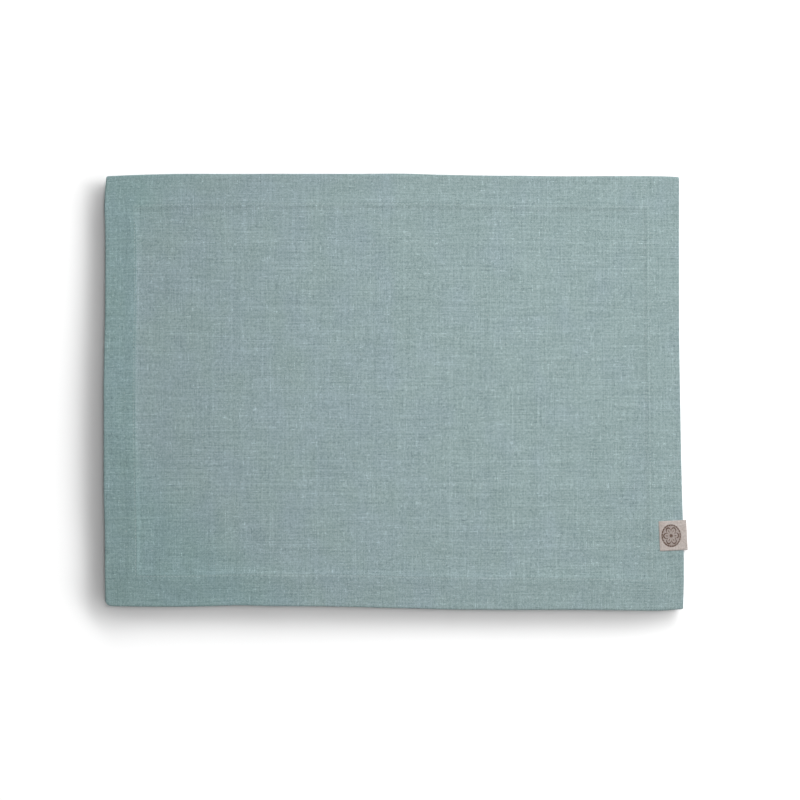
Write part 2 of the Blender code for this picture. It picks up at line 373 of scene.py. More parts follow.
def lay_flat_map(shape, name):
    """A UV map in metres that is the flat cloth itself."""
    flat_map = shape.loops.layers.uv.new(name)
    for face in shape.faces:
        for loop in face.loops:
            loop[flat_map].uv = loop.vert.co.xy
    return flat_map


def turn_under(shape, flat_map):
    """Draws the cloth's rim round to the underside, one row of the turned section after another.

    Returns where each new point lies: its row's inset, its height, and the way round from the edge.
    """
    half_x, half_y = MAT_LENGTH / 2, MAT_DEPTH / 2
    turned = {}
    rim = [edge for edge in shape.edges if edge.is_boundary]
    way, last = 0.0, UPPER_SECTION[0]
    for row in TURNED_SECTION:
        way += math.dist(last, row)
        last = row
        made = bmesh.ops.extrude_edge_only(shape, edges=rim)["geom"]
        strip = [item for item in made if isinstance(item, bmesh.types.BMFace)]
        rim = [item for item in made if isinstance(item, bmesh.types.BMEdge) and item.is_boundary]
        for edge in rim:
            for vertex in edge.verts:
                turned[vertex] = (*row, way)
        for face in strip:
            lengthwise = all(abs(abs(loop.vert.co.y) - half_y) < NEARLY for loop in face.loops)
            for loop in face.loops:
                x, y = loop.vert.co.xy
                inset, _, out = turned.get(loop.vert, (0.0, 0.0, 0.0))
                if lengthwise:
                    loop[flat_map].uv = (x * (1.0 - inset / half_x), math.copysign(half_y + out, y))
                else:
                    loop[flat_map].uv = (math.copysign(half_x + out, x), y * (1.0 - inset / half_y))
    return turned


def build_cloth():
    """The whole cloth as one sheet: the upper layer as a cut grid, then its rim turned under."""
    half_x, half_y = MAT_LENGTH / 2, MAT_DEPTH / 2
    shape = flat_sheet(MAT_LENGTH, MAT_DEPTH)
    for x in cut_places(half_x):
        cut(shape, (x, 0.0, 0.0), (1.0, 0.0, 0.0))
    for y in cut_places(half_y):
        cut(shape, (0.0, y, 0.0), (0.0, 1.0, 0.0))
    turned = turn_under(shape, lay_flat_map(shape, "cloth"))
    for vertex in shape.verts:
        x, y = vertex.co.xy
        if vertex in turned:
            inset, height, _ = turned[vertex]
            on_mitre = abs(abs(x) - half_x) < NEARLY and abs(abs(y) - half_y) < NEARLY
            if on_mitre and inset > MITRE_START:
                height += MITRE_DIP
            vertex.co = place_on_mat(x * (1.0 - inset / half_x), y * (1.0 - inset / half_y), height)
        else:
            inset = min(half_x - abs(x), half_y - abs(y))
            vertex.co = place_on_mat(x, y, line_value(UPPER_SECTION, inset))
    bmesh.ops.recalc_face_normals(shape, faces=shape.faces)
    return finished("placemat_cloth", shape, CLOTH_THICK)


def stitch_place(start, end):
    """Where one stitch lies, as a short round of thread between two needle holes."""
    along = end - start
    place = Matrix.Translation((start + end) / 2) @ along.to_track_quat("X", "Z").to_matrix().to_4x4()
    return place @ Matrix.Diagonal((along.length, THREAD_WIDTH, THREAD_HEIGHT, 1.0))


def beads(shape):
    """The separate beads of a shape, each as a list of its vertices."""
    seen = set()
    for first in shape.verts:
        if first in seen:
            continue
        seen.add(first)
        bead = [first]
        for vertex in bead:
            beside = [edge.other_vert(vertex) for edge in vertex.link_edges]
            bead += [other for other in beside if other not in seen]
            seen.update(beside)
        yield bead


def build_stitches(name, places):
    """A piece with one stitch at each place: a bead, doubled until there are enough, then laid out."""
    shape = bmesh.new()
    bmesh.ops.create_uvsphere(shape, u_segments=STITCH_SIDES, v_segments=STITCH_RINGS, radius=0.5)
    count = 1
    while 2 * count <= len(places):
        bmesh.ops.duplicate(shape, geom=shape.verts[:] + shape.edges[:] + shape.faces[:])
        count *= 2
    spare = [vertex for bead in list(beads(shape))[: len(places) - count] for vertex in bead]
    rounds = spare + list({edge for vertex in spare for edge in vertex.link_edges})
    rounds += list({face for vertex in spare for face in vertex.link_faces})
    bmesh.ops.duplicate(shape, geom=rounds)
    for bead, place in zip(beads(shape), places, strict=True):
        for vertex in bead:
            vertex.co = place @ vertex.co
    return finished(name, shape)


def sew(start, end, pitch, put):
    """The places of a row of stitches between two points of a flat plan, which put lays on the cloth."""
    row = Vector(end) - Vector(start)
    count = round(row.length / pitch)
    across = Vector((-row.y, row.x)).normalized()
    places = []
    for i in range(count):
        holes = []
        for share in STITCH_SHARE:
            hole = Vector(start) + row * ((i + share) / count)
            holes.append(put(*(hole + across * random.uniform(-STITCH_STRAY, STITCH_STRAY))))
        places.append(stitch_place(*holes))
    return places


def under_hem(x, y):
    """A point just inside the groove that the sewing draws into the hem's underside."""
    return place_on_mat(x, y, THREAD_HEIGHT / 2)


def build_hem_stitches():
    """The hem's sewing: a row along each side, on the face and on the underside, and down each mitre."""
    places = []
    reach_x, reach_y = MAT_LENGTH / 2 - HEM_STITCH_INSET, MAT_DEPTH / 2 - HEM_STITCH_INSET
    corners = [(-reach_x, -reach_y), (reach_x, -reach_y), (reach_x, reach_y), (-reach_x, reach_y)]
    for start, end in zip(corners, corners[1:] + corners[:1]):
        places += sew(start, end, HEM_STITCH_PITCH, upper_face)
        places += sew(start, end, HEM_STITCH_PITCH, under_hem)
    for x, y in corners:
        outward = Vector((math.copysign(1.0, x), math.copysign(1.0, y))) * (HEM_STITCH_INSET - MITRE_START)
        places += sew((x, y), Vector((x, y)) + outward, HEM_STITCH_PITCH, under_hem)
    return build_stitches("hem_stitches", places)


def tape_path(way):
    """The folded tape's middle line: along the upper leg, round the fold, and back under the cloth."""
    if way < TAPE_LEG:
        return way, TAPE_UPPER + TAPE_CURL * (1.0 - smooth(way / TAPE_CURL_LENGTH))
    turn = (way - TAPE_LEG) / TAPE_BEND
    if turn < math.pi:
        return TAPE_LEG + TAPE_BEND * math.sin(turn), TAPE_LOWER + TAPE_BEND * (1.0 + math.cos(turn))
    return TAPE_LENGTH - way, TAPE_LOWER


def on_tape(way, across, height=0.0):
    """A point of the folded tape, from the way along it and the place across it."""
    x, z = tape_path(way)
    if z > TAPE_UPPER / 2:
        z += TAPE_WAVE * noise.noise(Vector((way * TAPE_WAVES[0], across * TAPE_WAVES[1], 0.0)))
    flat = Matrix.Rotation(LABEL_TURN, 2) @ Vector((x - LABEL_REACH / 2, across))
    return Vector((flat.x, flat.y, z + height)) + LABEL_PLACE + MAT_SHIFT


def build_label():
    """The tape: cut flat, then folded over the mat's edge."""
    shape = bmesh.new()
    bmesh.ops.create_grid(shape, x_segments=TAPE_CUTS, y_segments=TAPE_CUTS_ACROSS, size=0.5)
    bmesh.ops.scale(shape, verts=shape.verts, vec=(TAPE_LENGTH, TAPE_WIDTH, 1.0))
    bmesh.ops.translate(shape, verts=shape.verts, vec=(TAPE_LENGTH / 2, 0.0, 0.0))
    lay_flat_map(shape, "tape")
    for vertex in shape.verts:
        way, across = vertex.co.xy
        side = math.copysign(3.0, across)  # so that the two sides stray unlike each other
        frayed = TAPE_FRAY * noise.noise(Vector((way * TAPE_FRAYS, side, 0.0)))
        vertex.co = on_tape(way, across + frayed * abs(across) / TAPE_WIDTH * 2.0)
    bmesh.ops.recalc_face_normals(shape, faces=shape.faces)
    return finished("label_tape", shape, TAPE_THICK)


def on_tape_face(way, across):
    """A point on the tape's outer face."""
    return on_tape(way, across, TAPE_THICK / 2)


def under_tape(way, across):
    """A point just under the tape's lower leg."""
    return on_tape(way, across, THREAD_HEIGHT / 2 - TAPE_REST - TAPE_THICK / 2)


def build_label_stitches():
    """The row of stitches that holds the tape's ends, above and below."""
    half = TAPE_WIDTH / 2 - TAPE_STITCH_MARGIN
    upper, lower = TAPE_STITCH_INSET, TAPE_LENGTH - TAPE_STITCH_INSET
    places = sew((upper, -half), (upper, half), TAPE_STITCH_PITCH, on_tape_face)
    places += sew((lower, -half), (lower, half), TAPE_STITCH_PITCH, under_tape)
    return build_stitches("label_stitches", places)


# ---------------------------------------------------------------- materials

WEAVE_CRIMP = 0.30  # how far a thread rises and dips, as a share of the relief
WEAVE_CROWN = 0.45  # and how much its round back adds
WEAVE_BASE = 0.25
WEAVE_BLUR = 0.06  # how softly the thread on top gives way to the other


class Finish:
    """Short calls for the nodes of one material."""

    def __init__(self, name):
        self.material = bpy.data.materials.new(name)
        self.material.use_nodes = True
        self.tree = self.material.node_tree
        self.shader = self.tree.nodes["Principled BSDF"]

    def node(self, kind, settings=None, **inputs):
        """A new node with those settings, and with a value or a link for each named input."""
        node = self.tree.nodes.new(kind)
        for key, value in (settings or {}).items():
            setattr(node, key, value)
        for key, value in inputs.items():
            self.feed(node.inputs[key], value)
        return node

    def feed(self, socket, value):
        """Links an input to another node's output, or sets it."""
        if isinstance(value, bpy.types.NodeSocket):
            self.tree.links.new(value, socket)
        else:
            socket.default_value = value

    def surface(self, colour, roughness, specular, sheen=0.0):
        """The colour, and how it throws back light."""
        inputs = self.shader.inputs
        self.feed(inputs["Base Color"], colour)
        self.feed(inputs["Roughness"], roughness)
        self.feed(inputs["Specular IOR Level"], specular)
        self.feed(inputs["Sheen Weight"], sheen)

    def bump(self, height, strength, depth):
        """Fine relief: its height from 0 to 1, how strongly it shows, and its depth in metres."""
        node = self.node("ShaderNodeBump", Height=height, Strength=strength, Distance=depth)
        self.feed(self.shader.inputs["Normal"], node.outputs["Normal"])

    def glow(self, strength):
        """White light that the surface gives off itself."""
        self.feed(self.shader.inputs["Emission Color"], WHITE)
        self.feed(self.shader.inputs["Emission Strength"], strength)

    def math(self, operation, *values):
        """The result of one math node."""
        node = self.node("ShaderNodeMath", {"operation": operation})
        for socket, value in zip(node.inputs, values):
            self.feed(socket, value)
        return node.outputs[0]

    def add(self, *values):
        """The sum of all the values."""
        total = values[0]
        for value in values[1:]:
            total = self.math("ADD", total, value)
        return total

    def times(self, *values):
        """The product of all the values."""
        total = values[0]
        for value in values[1:]:
            total = self.math("MULTIPLY", total, value)
        return total

    def highest(self, *values):
        """The greatest of all the values."""
        most = values[0]
        for value in values[1:]:
            most = self.math("MAXIMUM", most, value)
        return most

    def ramp(self, value, low, high):
        """A soft step from 0 at low to 1 at high."""
        ends = {"From Min": low, "From Max": high}
        node = self.node("ShaderNodeMapRange", {"interpolation_type": "SMOOTHSTEP"}, Value=value, **ends)
        return node.outputs["Result"]

    def point(self, x, y, z=0.0):
        """Three numbers as one place, or as one colour's shares."""
        return self.node("ShaderNodeCombineXYZ", X=x, Y=y, Z=z).outputs[0]

    def noise(self, place, scale, detail=0.0, roughness=0.5):
        """Cloudy noise from -1 to 1 at that many features for each unit of place."""
        inputs = {"Vector": place, "Scale": scale, "Detail": detail, "Roughness": roughness}
        node = self.node("ShaderNodeTexNoise", {"noise_dimensions": "2D"}, **inputs)
        return self.math("MULTIPLY_ADD", node.outputs["Fac"], 2.0, -1.0)

    def chance(self, place):
        """A number from -1 to 1 for each whole-numbered place, unlike its neighbours'."""
        node = self.node("ShaderNodeTexWhiteNoise", {"noise_dimensions": "2D"}, Vector=place)
        return self.math("MULTIPLY_ADD", node.outputs["Value"], 2.0, -1.0)

    def tinted(self, colour, share, tint):
        """A colour times a tint, by that share."""
        node = self.node("ShaderNodeMix", {"data_type": "RGBA", "blend_type": "MULTIPLY"})
        self.feed(node.inputs[0], share)
        self.feed(node.inputs[6], colour)
        self.feed(node.inputs[7], tint)
        return node.outputs[2]

    def blend(self, share, a, b):
        """From colour a to colour b by that share."""
        node = self.node("ShaderNodeMix", {"data_type": "RGBA"})
        self.feed(node.inputs[0], share)
        self.feed(node.inputs[6], a)
        self.feed(node.inputs[7], b)
        return node.outputs[2]

    def mix(self, share, a, b):
        """From number a to number b by that share."""
        node = self.node("ShaderNodeMix", {"data_type": "FLOAT"})
        self.feed(node.inputs[0], share)
        self.feed(node.inputs[2], a)
        self.feed(node.inputs[3], b)
        return node.outputs[0]

    def scaled(self, colour, shares):
        """A colour with red, green and blue each times a number."""
        node = self.node("ShaderNodeVectorMath", {"operation": "MULTIPLY"})
        self.feed(node.inputs[0], colour)
        self.feed(node.inputs[1], shares)
        return node.outputs[0]

    def brighten(self, colour, share):
        """A colour times a number."""
        node = self.node("ShaderNodeVectorMath", {"operation": "SCALE"})
        self.feed(node.inputs[0], colour)
        self.feed(node.inputs["Scale"], share)
        return node.outputs[0]

    def threads(self, place, unevenness):
        """Side-by-side threads of uneven width: each one's number, its own chance, and its round crown."""
        inputs = {"W": place, "Scale": 1.0, "Randomness": unevenness}
        cells = self.node("ShaderNodeTexVoronoi", {"voronoi_dimensions": "1D"}, **inputs)
        number = self.math("FLOOR", cells.outputs["W"])
        chance = self.node("ShaderNodeSeparateColor", Color=cells.outputs["Color"]).outputs[0]
        chance = self.math("MULTIPLY_ADD", chance, 2.0, -1.0)
        across = self.math("MULTIPLY", cells.outputs["Distance"], 2.0)
        crown = self.math("SUBTRACT", 1.0, self.times(across, across))
        return number, chance, crown

    def plain_weave(self, along_x, along_y, warp, weft):
        """A plain weave's relief, from about 0 to 1, and the share of warp on top.

        The places are in thread widths. Warp threads lie side by side along X.
        """
        warp_number, _, warp_crown = warp
        weft_number, _, weft_crown = weft
        over = self.math("SINE", self.times(self.add(along_y, warp_number), math.pi))
        under = self.math("SINE", self.times(self.add(along_x, weft_number), math.pi))
        warp_height = self.add(self.times(over, WEAVE_CRIMP), self.times(warp_crown, WEAVE_CROWN))
        weft_height = self.add(self.times(under, -WEAVE_CRIMP), self.times(weft_crown, WEAVE_CROWN))
        relief = self.add(self.highest(warp_height, weft_height), WEAVE_BASE)
        on_top = self.ramp(self.math("SUBTRACT", warp_height, weft_height), -WEAVE_BLUR, WEAVE_BLUR)
        return relief, on_top


# Linen: dusty teal, greener and bluer in patches
LINEN_GREEN = (0.340, 0.455, 0.467, 1.0)
LINEN_BLUE = (0.344, 0.455, 0.490, 1.0)
LEFT_PAINTED_SHADE_TINT = (0.92, 1.0, 0.985, 1.0)  # painted shade, deeper along the left hem and in its corners, away from the light, partly from the hem's three layers

# Threads. Lengths and rates here are in thread widths, and ranges are of noise from -1 to 1.
WARP_UNEVEN = 0.55  # how much their widths differ
WEFT_UNEVEN = 0.60
WANDER = 0.6  # how far they wander aside
WANDERS = 34.0  # to the metre
WANDER_APART = (0.71, 0.33)  # in metres, so that the two directions wander unlike each other
WARP_ROWS = 3.7  # where each direction's rows of noise start, and how far apart they are
WEFT_ROWS = 91.3
ROW_STEP = 7.31
LUMP_ROWS = 3.3
STRETCH_ROWS = 5.7
DRIFT_RATE = 0.02
LUMP_RATE = 0.08
STRETCH_RATE = 0.013
SLUB_RANGE = (0.38, 0.62)
THIN_RANGE = (-0.40, -0.62)  # where a yarn is spun thin
PALE_CHANCE = 0.84  # threads above it have long stretches that took less dye
PALE_RANGE = (-0.15, 0.25)
FIBRES_ACROSS = 9.0
FIBRES_ALONG = 1.3

# Shades, as shares of the colour
WARP_STREAK = 0.25  # how much a thread's shade drifts along its length
WEFT_STREAK = 0.34
OWN_SHADE = 0.03  # and how much the threads differ as a whole
KNOT_SHADE = 0.14  # and each crossing
PALE_YARN = 0.50  # as a share of the drift
SLUB_SHADE = 0.53
THIN_SHADE = 0.30
FIBRE_SHADE = 0.16
SPOT_RATE = 0.30  # loosely and tightly spun spots, to the thread width
SPOT_SHADE = 0.10
CLOUDS = 60.0  # to the metre
CLOUD_SHADE = 0.05
BASE_SHADE = -0.008  # keeps the cloth's mean shade
# painted shade in the gaps between the threads
GAP_PAINTED_SHADE = 0.35
MEAN_RELIEF = 0.62
HEM_LAYERS_AND_PAINTED_SHADE = 0.018  # three layers let less of the pale surface through, and painted shade makes it strongest towards the near left
# painted shade in the near left corner
NEAR_CORNER_PAINTED_SHADE = 0.035
GREYER = 0.12  # how much redder, so greyer, the paler spots are

# Where the colour and the painted shade differ, in metres from the mat's middle
LEFT_HEM_PAINTED_SHADE_RANGE = (-0.19, -0.22)  # x: painted shade along the left hem
HEM_PAINTED_SHADE_RANGE = (0.30, -0.40)  # x + y: painted shade, so the hem is palest in the far right corner, towards the light
NEAR_CORNER_PAINTED_SHADE_RANGE = (-0.235, -0.33)  # x + y: painted shade in the near left corner
FAR_CORNER_PAINTED_SHADE_RANGE = (0.32, 0.43)  # y - x: painted shade in the far left corner
RIGHT_SIDE_RANGE = (-0.01, 0.10)  # x + RIGHT_SIDE_SLOPE y
RIGHT_SIDE_SLOPE = 0.3
RIGHT_GREENER = 0.45
PATCHES = 26.0  # to the metre
UPRIGHT_PATCHES = 14.0  # to the metre, and their height over their width
UPRIGHT_STRETCH = 3.0
UPRIGHT_SHARE = 0.7
PATCH_MIDDLE = 0.5
PATCH_RANGE = (-0.2, 1.2)

# Flecks
FLECK_RATE = 0.12  # cells with one lot each, to the thread width
FLECK_RANGE = (0.085, 0.030)  # a fleck's soft edge, from a cell's middle
PALE_FLECK = (0.66, 0.72, 0.72, 1.0)
PALE_LOT = 0.93  # the lot above which a cell has a pale fleck
PALE_FLECK_SHARE = 0.75
DARK_FLECK = (0.11, 0.15, 0.16, 1.0)
DARK_LOT = 0.05  # and below which it has a dark one
DARK_FLECK_SHARE = 0.60

# Relief
WEAVE_BUMP = 0.5
SLUB_RISE = 0.25
FIBRE_RISE = 0.22


def linen_finish():
    """Plain-weave linen: uneven yarns with slubs, a few pale and dark flecks, patchy dye, and painted shade
    in the weave's gaps, along the hem and towards the left.
    """
    finish = Finish("linen")
    flat = finish.node("ShaderNodeUVMap", {"uv_map": "cloth"}).outputs["UV"]
    split = finish.node("ShaderNodeSeparateXYZ", Vector=flat)
    x, y = split.outputs["X"], split.outputs["Y"]

    # the threads wander a little to either side
    elsewhere = finish.point(finish.add(x, WANDER_APART[0]), finish.add(y, WANDER_APART[1]))
    aside_x = finish.times(finish.noise(flat, WANDERS), WANDER)
    aside_y = finish.times(finish.noise(elsewhere, WANDERS), WANDER)
    along_x = finish.math("MULTIPLY_ADD", x, 1.0 / WARP_PITCH, aside_x)
    along_y = finish.math("MULTIPLY_ADD", y, 1.0 / WEFT_PITCH, aside_y)
    warp = finish.threads(along_x, WARP_UNEVEN)
    weft = finish.threads(along_y, WEFT_UNEVEN)
    relief, on_top = finish.plain_weave(along_x, along_y, warp, weft)

    def yarn(thread, along, rows, streak):
        """How pale or deep a thread is here, and whether this is a slub."""
        number, chance, _ = thread
        row = finish.math("MULTIPLY_ADD", number, ROW_STEP, rows)
        lump_row, stretch_row = finish.add(row, LUMP_ROWS), finish.add(row, STRETCH_ROWS)
        drift = finish.noise(finish.point(row, finish.times(along, DRIFT_RATE)), 1.0, detail=1.0)
        lump = finish.noise(finish.point(lump_row, finish.times(along, LUMP_RATE)), 1.0, detail=1.0)
        slub = finish.ramp(lump, *SLUB_RANGE)
        thin = finish.ramp(lump, *THIN_RANGE)
        stretch = finish.noise(finish.point(stretch_row, finish.times(along, STRETCH_RATE)), 1.0)
        taken = finish.math("GREATER_THAN", chance, PALE_CHANCE)
        pale = finish.times(taken, finish.ramp(stretch, *PALE_RANGE))
        shade = finish.add(
            finish.times(chance, OWN_SHADE),
            finish.times(drift, streak),
            finish.times(slub, SLUB_SHADE),
            finish.times(thin, -THIN_SHADE),
            finish.times(pale, streak * PALE_YARN),
        )
        return shade, slub

    warp_shade, warp_slub = yarn(warp, along_y, WARP_ROWS, WARP_STREAK)
    weft_shade, weft_slub = yarn(weft, along_x, WEFT_ROWS, WEFT_STREAK)
    shade = finish.mix(on_top, weft_shade, warp_shade)

    # each crossing's own shade, loosely and tightly spun spots, and clouds
    knot = finish.chance(finish.point(warp[0], weft[0]))
    spots = finish.noise(finish.point(along_x, along_y), SPOT_RATE)
    cloud = finish.noise(flat, CLOUDS, detail=2.0)
    shade = finish.add(
        shade,
        finish.times(knot, KNOT_SHADE),
        finish.times(spots, SPOT_SHADE),
        finish.times(cloud, CLOUD_SHADE),
        BASE_SHADE,
    )

    # painted shade darkens the gaps between the threads, and the hem is darker
    depth = finish.math("MULTIPLY_ADD", relief, GAP_PAINTED_SHADE, 1.0 - MEAN_RELIEF * GAP_PAINTED_SHADE)
    inset_x = finish.math("SUBTRACT", MAT_LENGTH / 2, finish.math("ABSOLUTE", x))
    inset_y = finish.math("SUBTRACT", MAT_DEPTH / 2, finish.math("ABSOLUTE", y))
    inset = finish.math("MINIMUM", inset_x, inset_y)
    hem = finish.ramp(inset, INNER_FOLD + MM, INNER_FOLD - MM)
    left_hem_painted_shade = finish.times(hem, finish.ramp(x, *LEFT_HEM_PAINTED_SHADE_RANGE))
    # painted shade: the hem's darkening from its three layers fades out towards the far right corner, where
    # the light comes from
    hem = finish.times(hem, finish.ramp(finish.add(x, y), *HEM_PAINTED_SHADE_RANGE))
    hem_layers_and_painted_shade = finish.math("MULTIPLY_ADD", hem, -HEM_LAYERS_AND_PAINTED_SHADE, 1.0)
    # painted shade darkens the near left corner, away from the light
    near_corner_painted_shade = finish.ramp(finish.add(x, y), *NEAR_CORNER_PAINTED_SHADE_RANGE)
    near_corner_shade_factor = finish.math("MULTIPLY_ADD", near_corner_painted_shade, -NEAR_CORNER_PAINTED_SHADE, 1.0)
    light = finish.times(finish.add(shade, 1.0), depth, hem_layers_and_painted_shade, near_corner_shade_factor)

    # the dye took bluer and greener in patches that follow the threads, and greener towards the right
    upright = finish.point(finish.times(x, UPRIGHT_STRETCH), y)
    upright = finish.times(finish.noise(upright, UPRIGHT_PATCHES, detail=2.0), UPRIGHT_SHARE)
    patches = finish.add(finish.noise(flat, PATCHES, detail=2.0), upright, PATCH_MIDDLE)
    right_side = finish.ramp(finish.math("MULTIPLY_ADD", y, RIGHT_SIDE_SLOPE, x), *RIGHT_SIDE_RANGE)
    patches = finish.math("MULTIPLY_ADD", right_side, -RIGHT_GREENER, patches)
    colour = finish.blend(finish.ramp(patches, *PATCH_RANGE), LINEN_GREEN, LINEN_BLUE)
    red = finish.times(light, finish.math("MULTIPLY_ADD", shade, GREYER, 1.0))
    # painted shade: a deeper, greener colour along the left hem and in the left corners, away from the light,
    # partly from the hem's three layers
    far_corner_painted_shade = finish.ramp(finish.math("SUBTRACT", y, x), *FAR_CORNER_PAINTED_SHADE_RANGE)
    deep = finish.highest(left_hem_painted_shade, near_corner_painted_shade, far_corner_painted_shade)
    colour = finish.scaled(finish.tinted(colour, deep, LEFT_PAINTED_SHADE_TINT), finish.point(red, light, light))

    # fine fibres run along each thread
    strands_x, strands_y = finish.times(along_x, FIBRES_ACROSS), finish.times(along_y, FIBRES_ACROSS)
    run_x, run_y = finish.times(along_x, FIBRES_ALONG), finish.times(along_y, FIBRES_ALONG)
    warp_fibre = finish.noise(finish.point(strands_x, run_y), 1.0, detail=1.0)
    weft_fibre = finish.noise(finish.point(run_x, strands_y), 1.0, detail=1.0)
    fibre = finish.mix(on_top, weft_fibre, warp_fibre)
    colour = finish.brighten(colour, finish.math("MULTIPLY_ADD", fibre, FIBRE_SHADE, 1.0))

    # rare flecks
    place = finish.point(along_x, along_y)
    cells = finish.node("ShaderNodeTexVoronoi", {"voronoi_dimensions": "2D"}, Vector=place, Scale=FLECK_RATE)
    lot = finish.node("ShaderNodeSeparateColor", Color=cells.outputs["Color"]).outputs[0]
    close = finish.ramp(cells.outputs["Distance"], *FLECK_RANGE)
    pale_fleck = finish.times(close, finish.math("GREATER_THAN", lot, PALE_LOT), PALE_FLECK_SHARE)
    dark_fleck = finish.times(close, finish.math("LESS_THAN", lot, DARK_LOT), DARK_FLECK_SHARE)
    colour = finish.blend(pale_fleck, colour, PALE_FLECK)
    colour = finish.blend(dark_fleck, colour, DARK_FLECK)

    # relief: the weave, thicker slubs, the fibres along each thread
    slubs = finish.times(finish.highest(warp_slub, weft_slub), SLUB_RISE)
    finish.bump(finish.add(relief, slubs, finish.times(fibre, FIBRE_RISE)), WEAVE_BUMP, THREAD_RISE)
    finish.surface(colour, roughness=0.88, specular=0.25, sheen=0.12)
    return finish.material


# Tape: pinkish beige. Rates are to the metre.
TAPE_PALE = (0.635, 0.580, 0.558, 1.0)
TAPE_DEEP = (0.540, 0.468, 0.441, 1.0)
TAPE_PITCH = 0.40 * MM
TAPE_UNEVEN = 0.3
TAPE_OWN_SHADE = 0.10  # how much its threads differ
TAPE_SPOTS = 700.0
TAPE_SPOT_SHADE = 0.22
TAPE_PATCHES = 160.0
TAPE_PATCH_SHARE = 0.6
TAPE_TINT = 0.6  # the share of its pale colour
# painted shade in the gaps between the tape's threads
TAPE_GAP_PAINTED_SHADE = 0.30
TAPE_GAP_PAINTED_SHADE_LEVEL = 0.82  # painted shade: the brightness of a gap between the threads
TAPE_BUMP = 0.5
TAPE_BUMP_RISE = 0.08 * MM
SEWN_END_SHADE_LENGTH = 5.0 * MM  # of the painted shade at the sewn end
# painted shade at the sewn end, next to its stitches
SEWN_END_PAINTED_SHADE = 0.10

# Stamp. Its parts are given as shares of its radius.
STAMP_BROWN = (0.120, 0.064, 0.044, 1.0)
STAMP_RADIUS = 9.4 * MM
STAMP_HALF_WIDTH = 8.6 * MM
STAMP_HALF_HEIGHT = 10.0 * MM
STAMP_ASIDE = 1.8 * MM  # towards the sewn end from the face's middle
PETALS = 6
PETAL_ROOT = 0.36
PETAL_TIP = 0.75
PETAL_ROUNDNESS = 0.6
VEIN_ROOT = (0.30, 0.34)
VEIN_TIP = (0.58, 0.52)
DASHES = 24
DASH_RANGE = (-0.30, 0.50)  # leaves a thin gap between dashes
RING = 0.92
DISC = (1.02, 0.98)  # the whole stamp's soft edge
DISC_INK = 0.34  # the thinner ink all over it
PETAL_LINE = 0.60 * MM  # half widths
RING_LINE = 0.62 * MM
VEIN_LINE = (1.10 * MM, 0.65 * MM)
LINE_BLUR = (0.15 * MM, 0.10 * MM)  # outside and inside a line's edge
FLOWER_MIDDLE = (1.7 * MM, 1.3 * MM)
INK_WEARS = 900.0  # to the metre
INK_WEAR_ROUGHNESS = 0.7
INK_ON_RELIEF = 0.35
INK_WORN_RANGE = (-0.70, 0.15)
INK_AT_FOLD = 0.84


def stroke(finish, distance, half_width):
    """A soft-edged line where that distance is near nothing."""
    outside, inside = half_width + LINE_BLUR[0], half_width - LINE_BLUR[1]
    return finish.ramp(finish.math("ABSOLUTE", distance), outside, inside)


def rosette(finish, x, y):
    """A stamped flower: petal outlines with a vein each, a round middle, and a ring of short dashes."""
    x, y = finish.times(x, STAMP_RADIUS / STAMP_HALF_WIDTH), finish.times(y, STAMP_RADIUS / STAMP_HALF_HEIGHT)
    radius = finish.math("SQRT", finish.add(finish.times(x, x), finish.times(y, y)))
    around = finish.math("ARCTAN2", y, x)

    def side(soft_edge):
        """Ink on one side of a circle with that soft edge, in shares of the stamp's radius."""
        return finish.ramp(radius, *(share * STAMP_RADIUS for share in soft_edge))

    turn = finish.times(around, PETALS / 2)
    arch = finish.math("POWER", finish.math("ABSOLUTE", finish.math("COSINE", turn)), PETAL_ROUNDNESS)
    root, tip = PETAL_ROOT * STAMP_RADIUS, PETAL_TIP * STAMP_RADIUS
    reach = finish.math("MULTIPLY_ADD", arch, tip - root, root)
    petals = stroke(finish, finish.math("SUBTRACT", reach, radius), PETAL_LINE)
    beside = finish.times(finish.math("ABSOLUTE", finish.math("SINE", turn)), radius)
    veins = finish.times(finish.ramp(beside, *VEIN_LINE), side(VEIN_ROOT), side(VEIN_TIP))
    middle = finish.ramp(radius, *FLOWER_MIDDLE)
    dash = finish.math("ABSOLUTE", finish.math("SINE", finish.times(around, DASHES / 2)))
    ring = stroke(finish, finish.math("SUBTRACT", radius, RING * STAMP_RADIUS), RING_LINE)
    ring = finish.times(ring, finish.ramp(dash, *DASH_RANGE))
    return finish.highest(petals, veins, middle, ring, finish.times(side(DISC), DISC_INK))


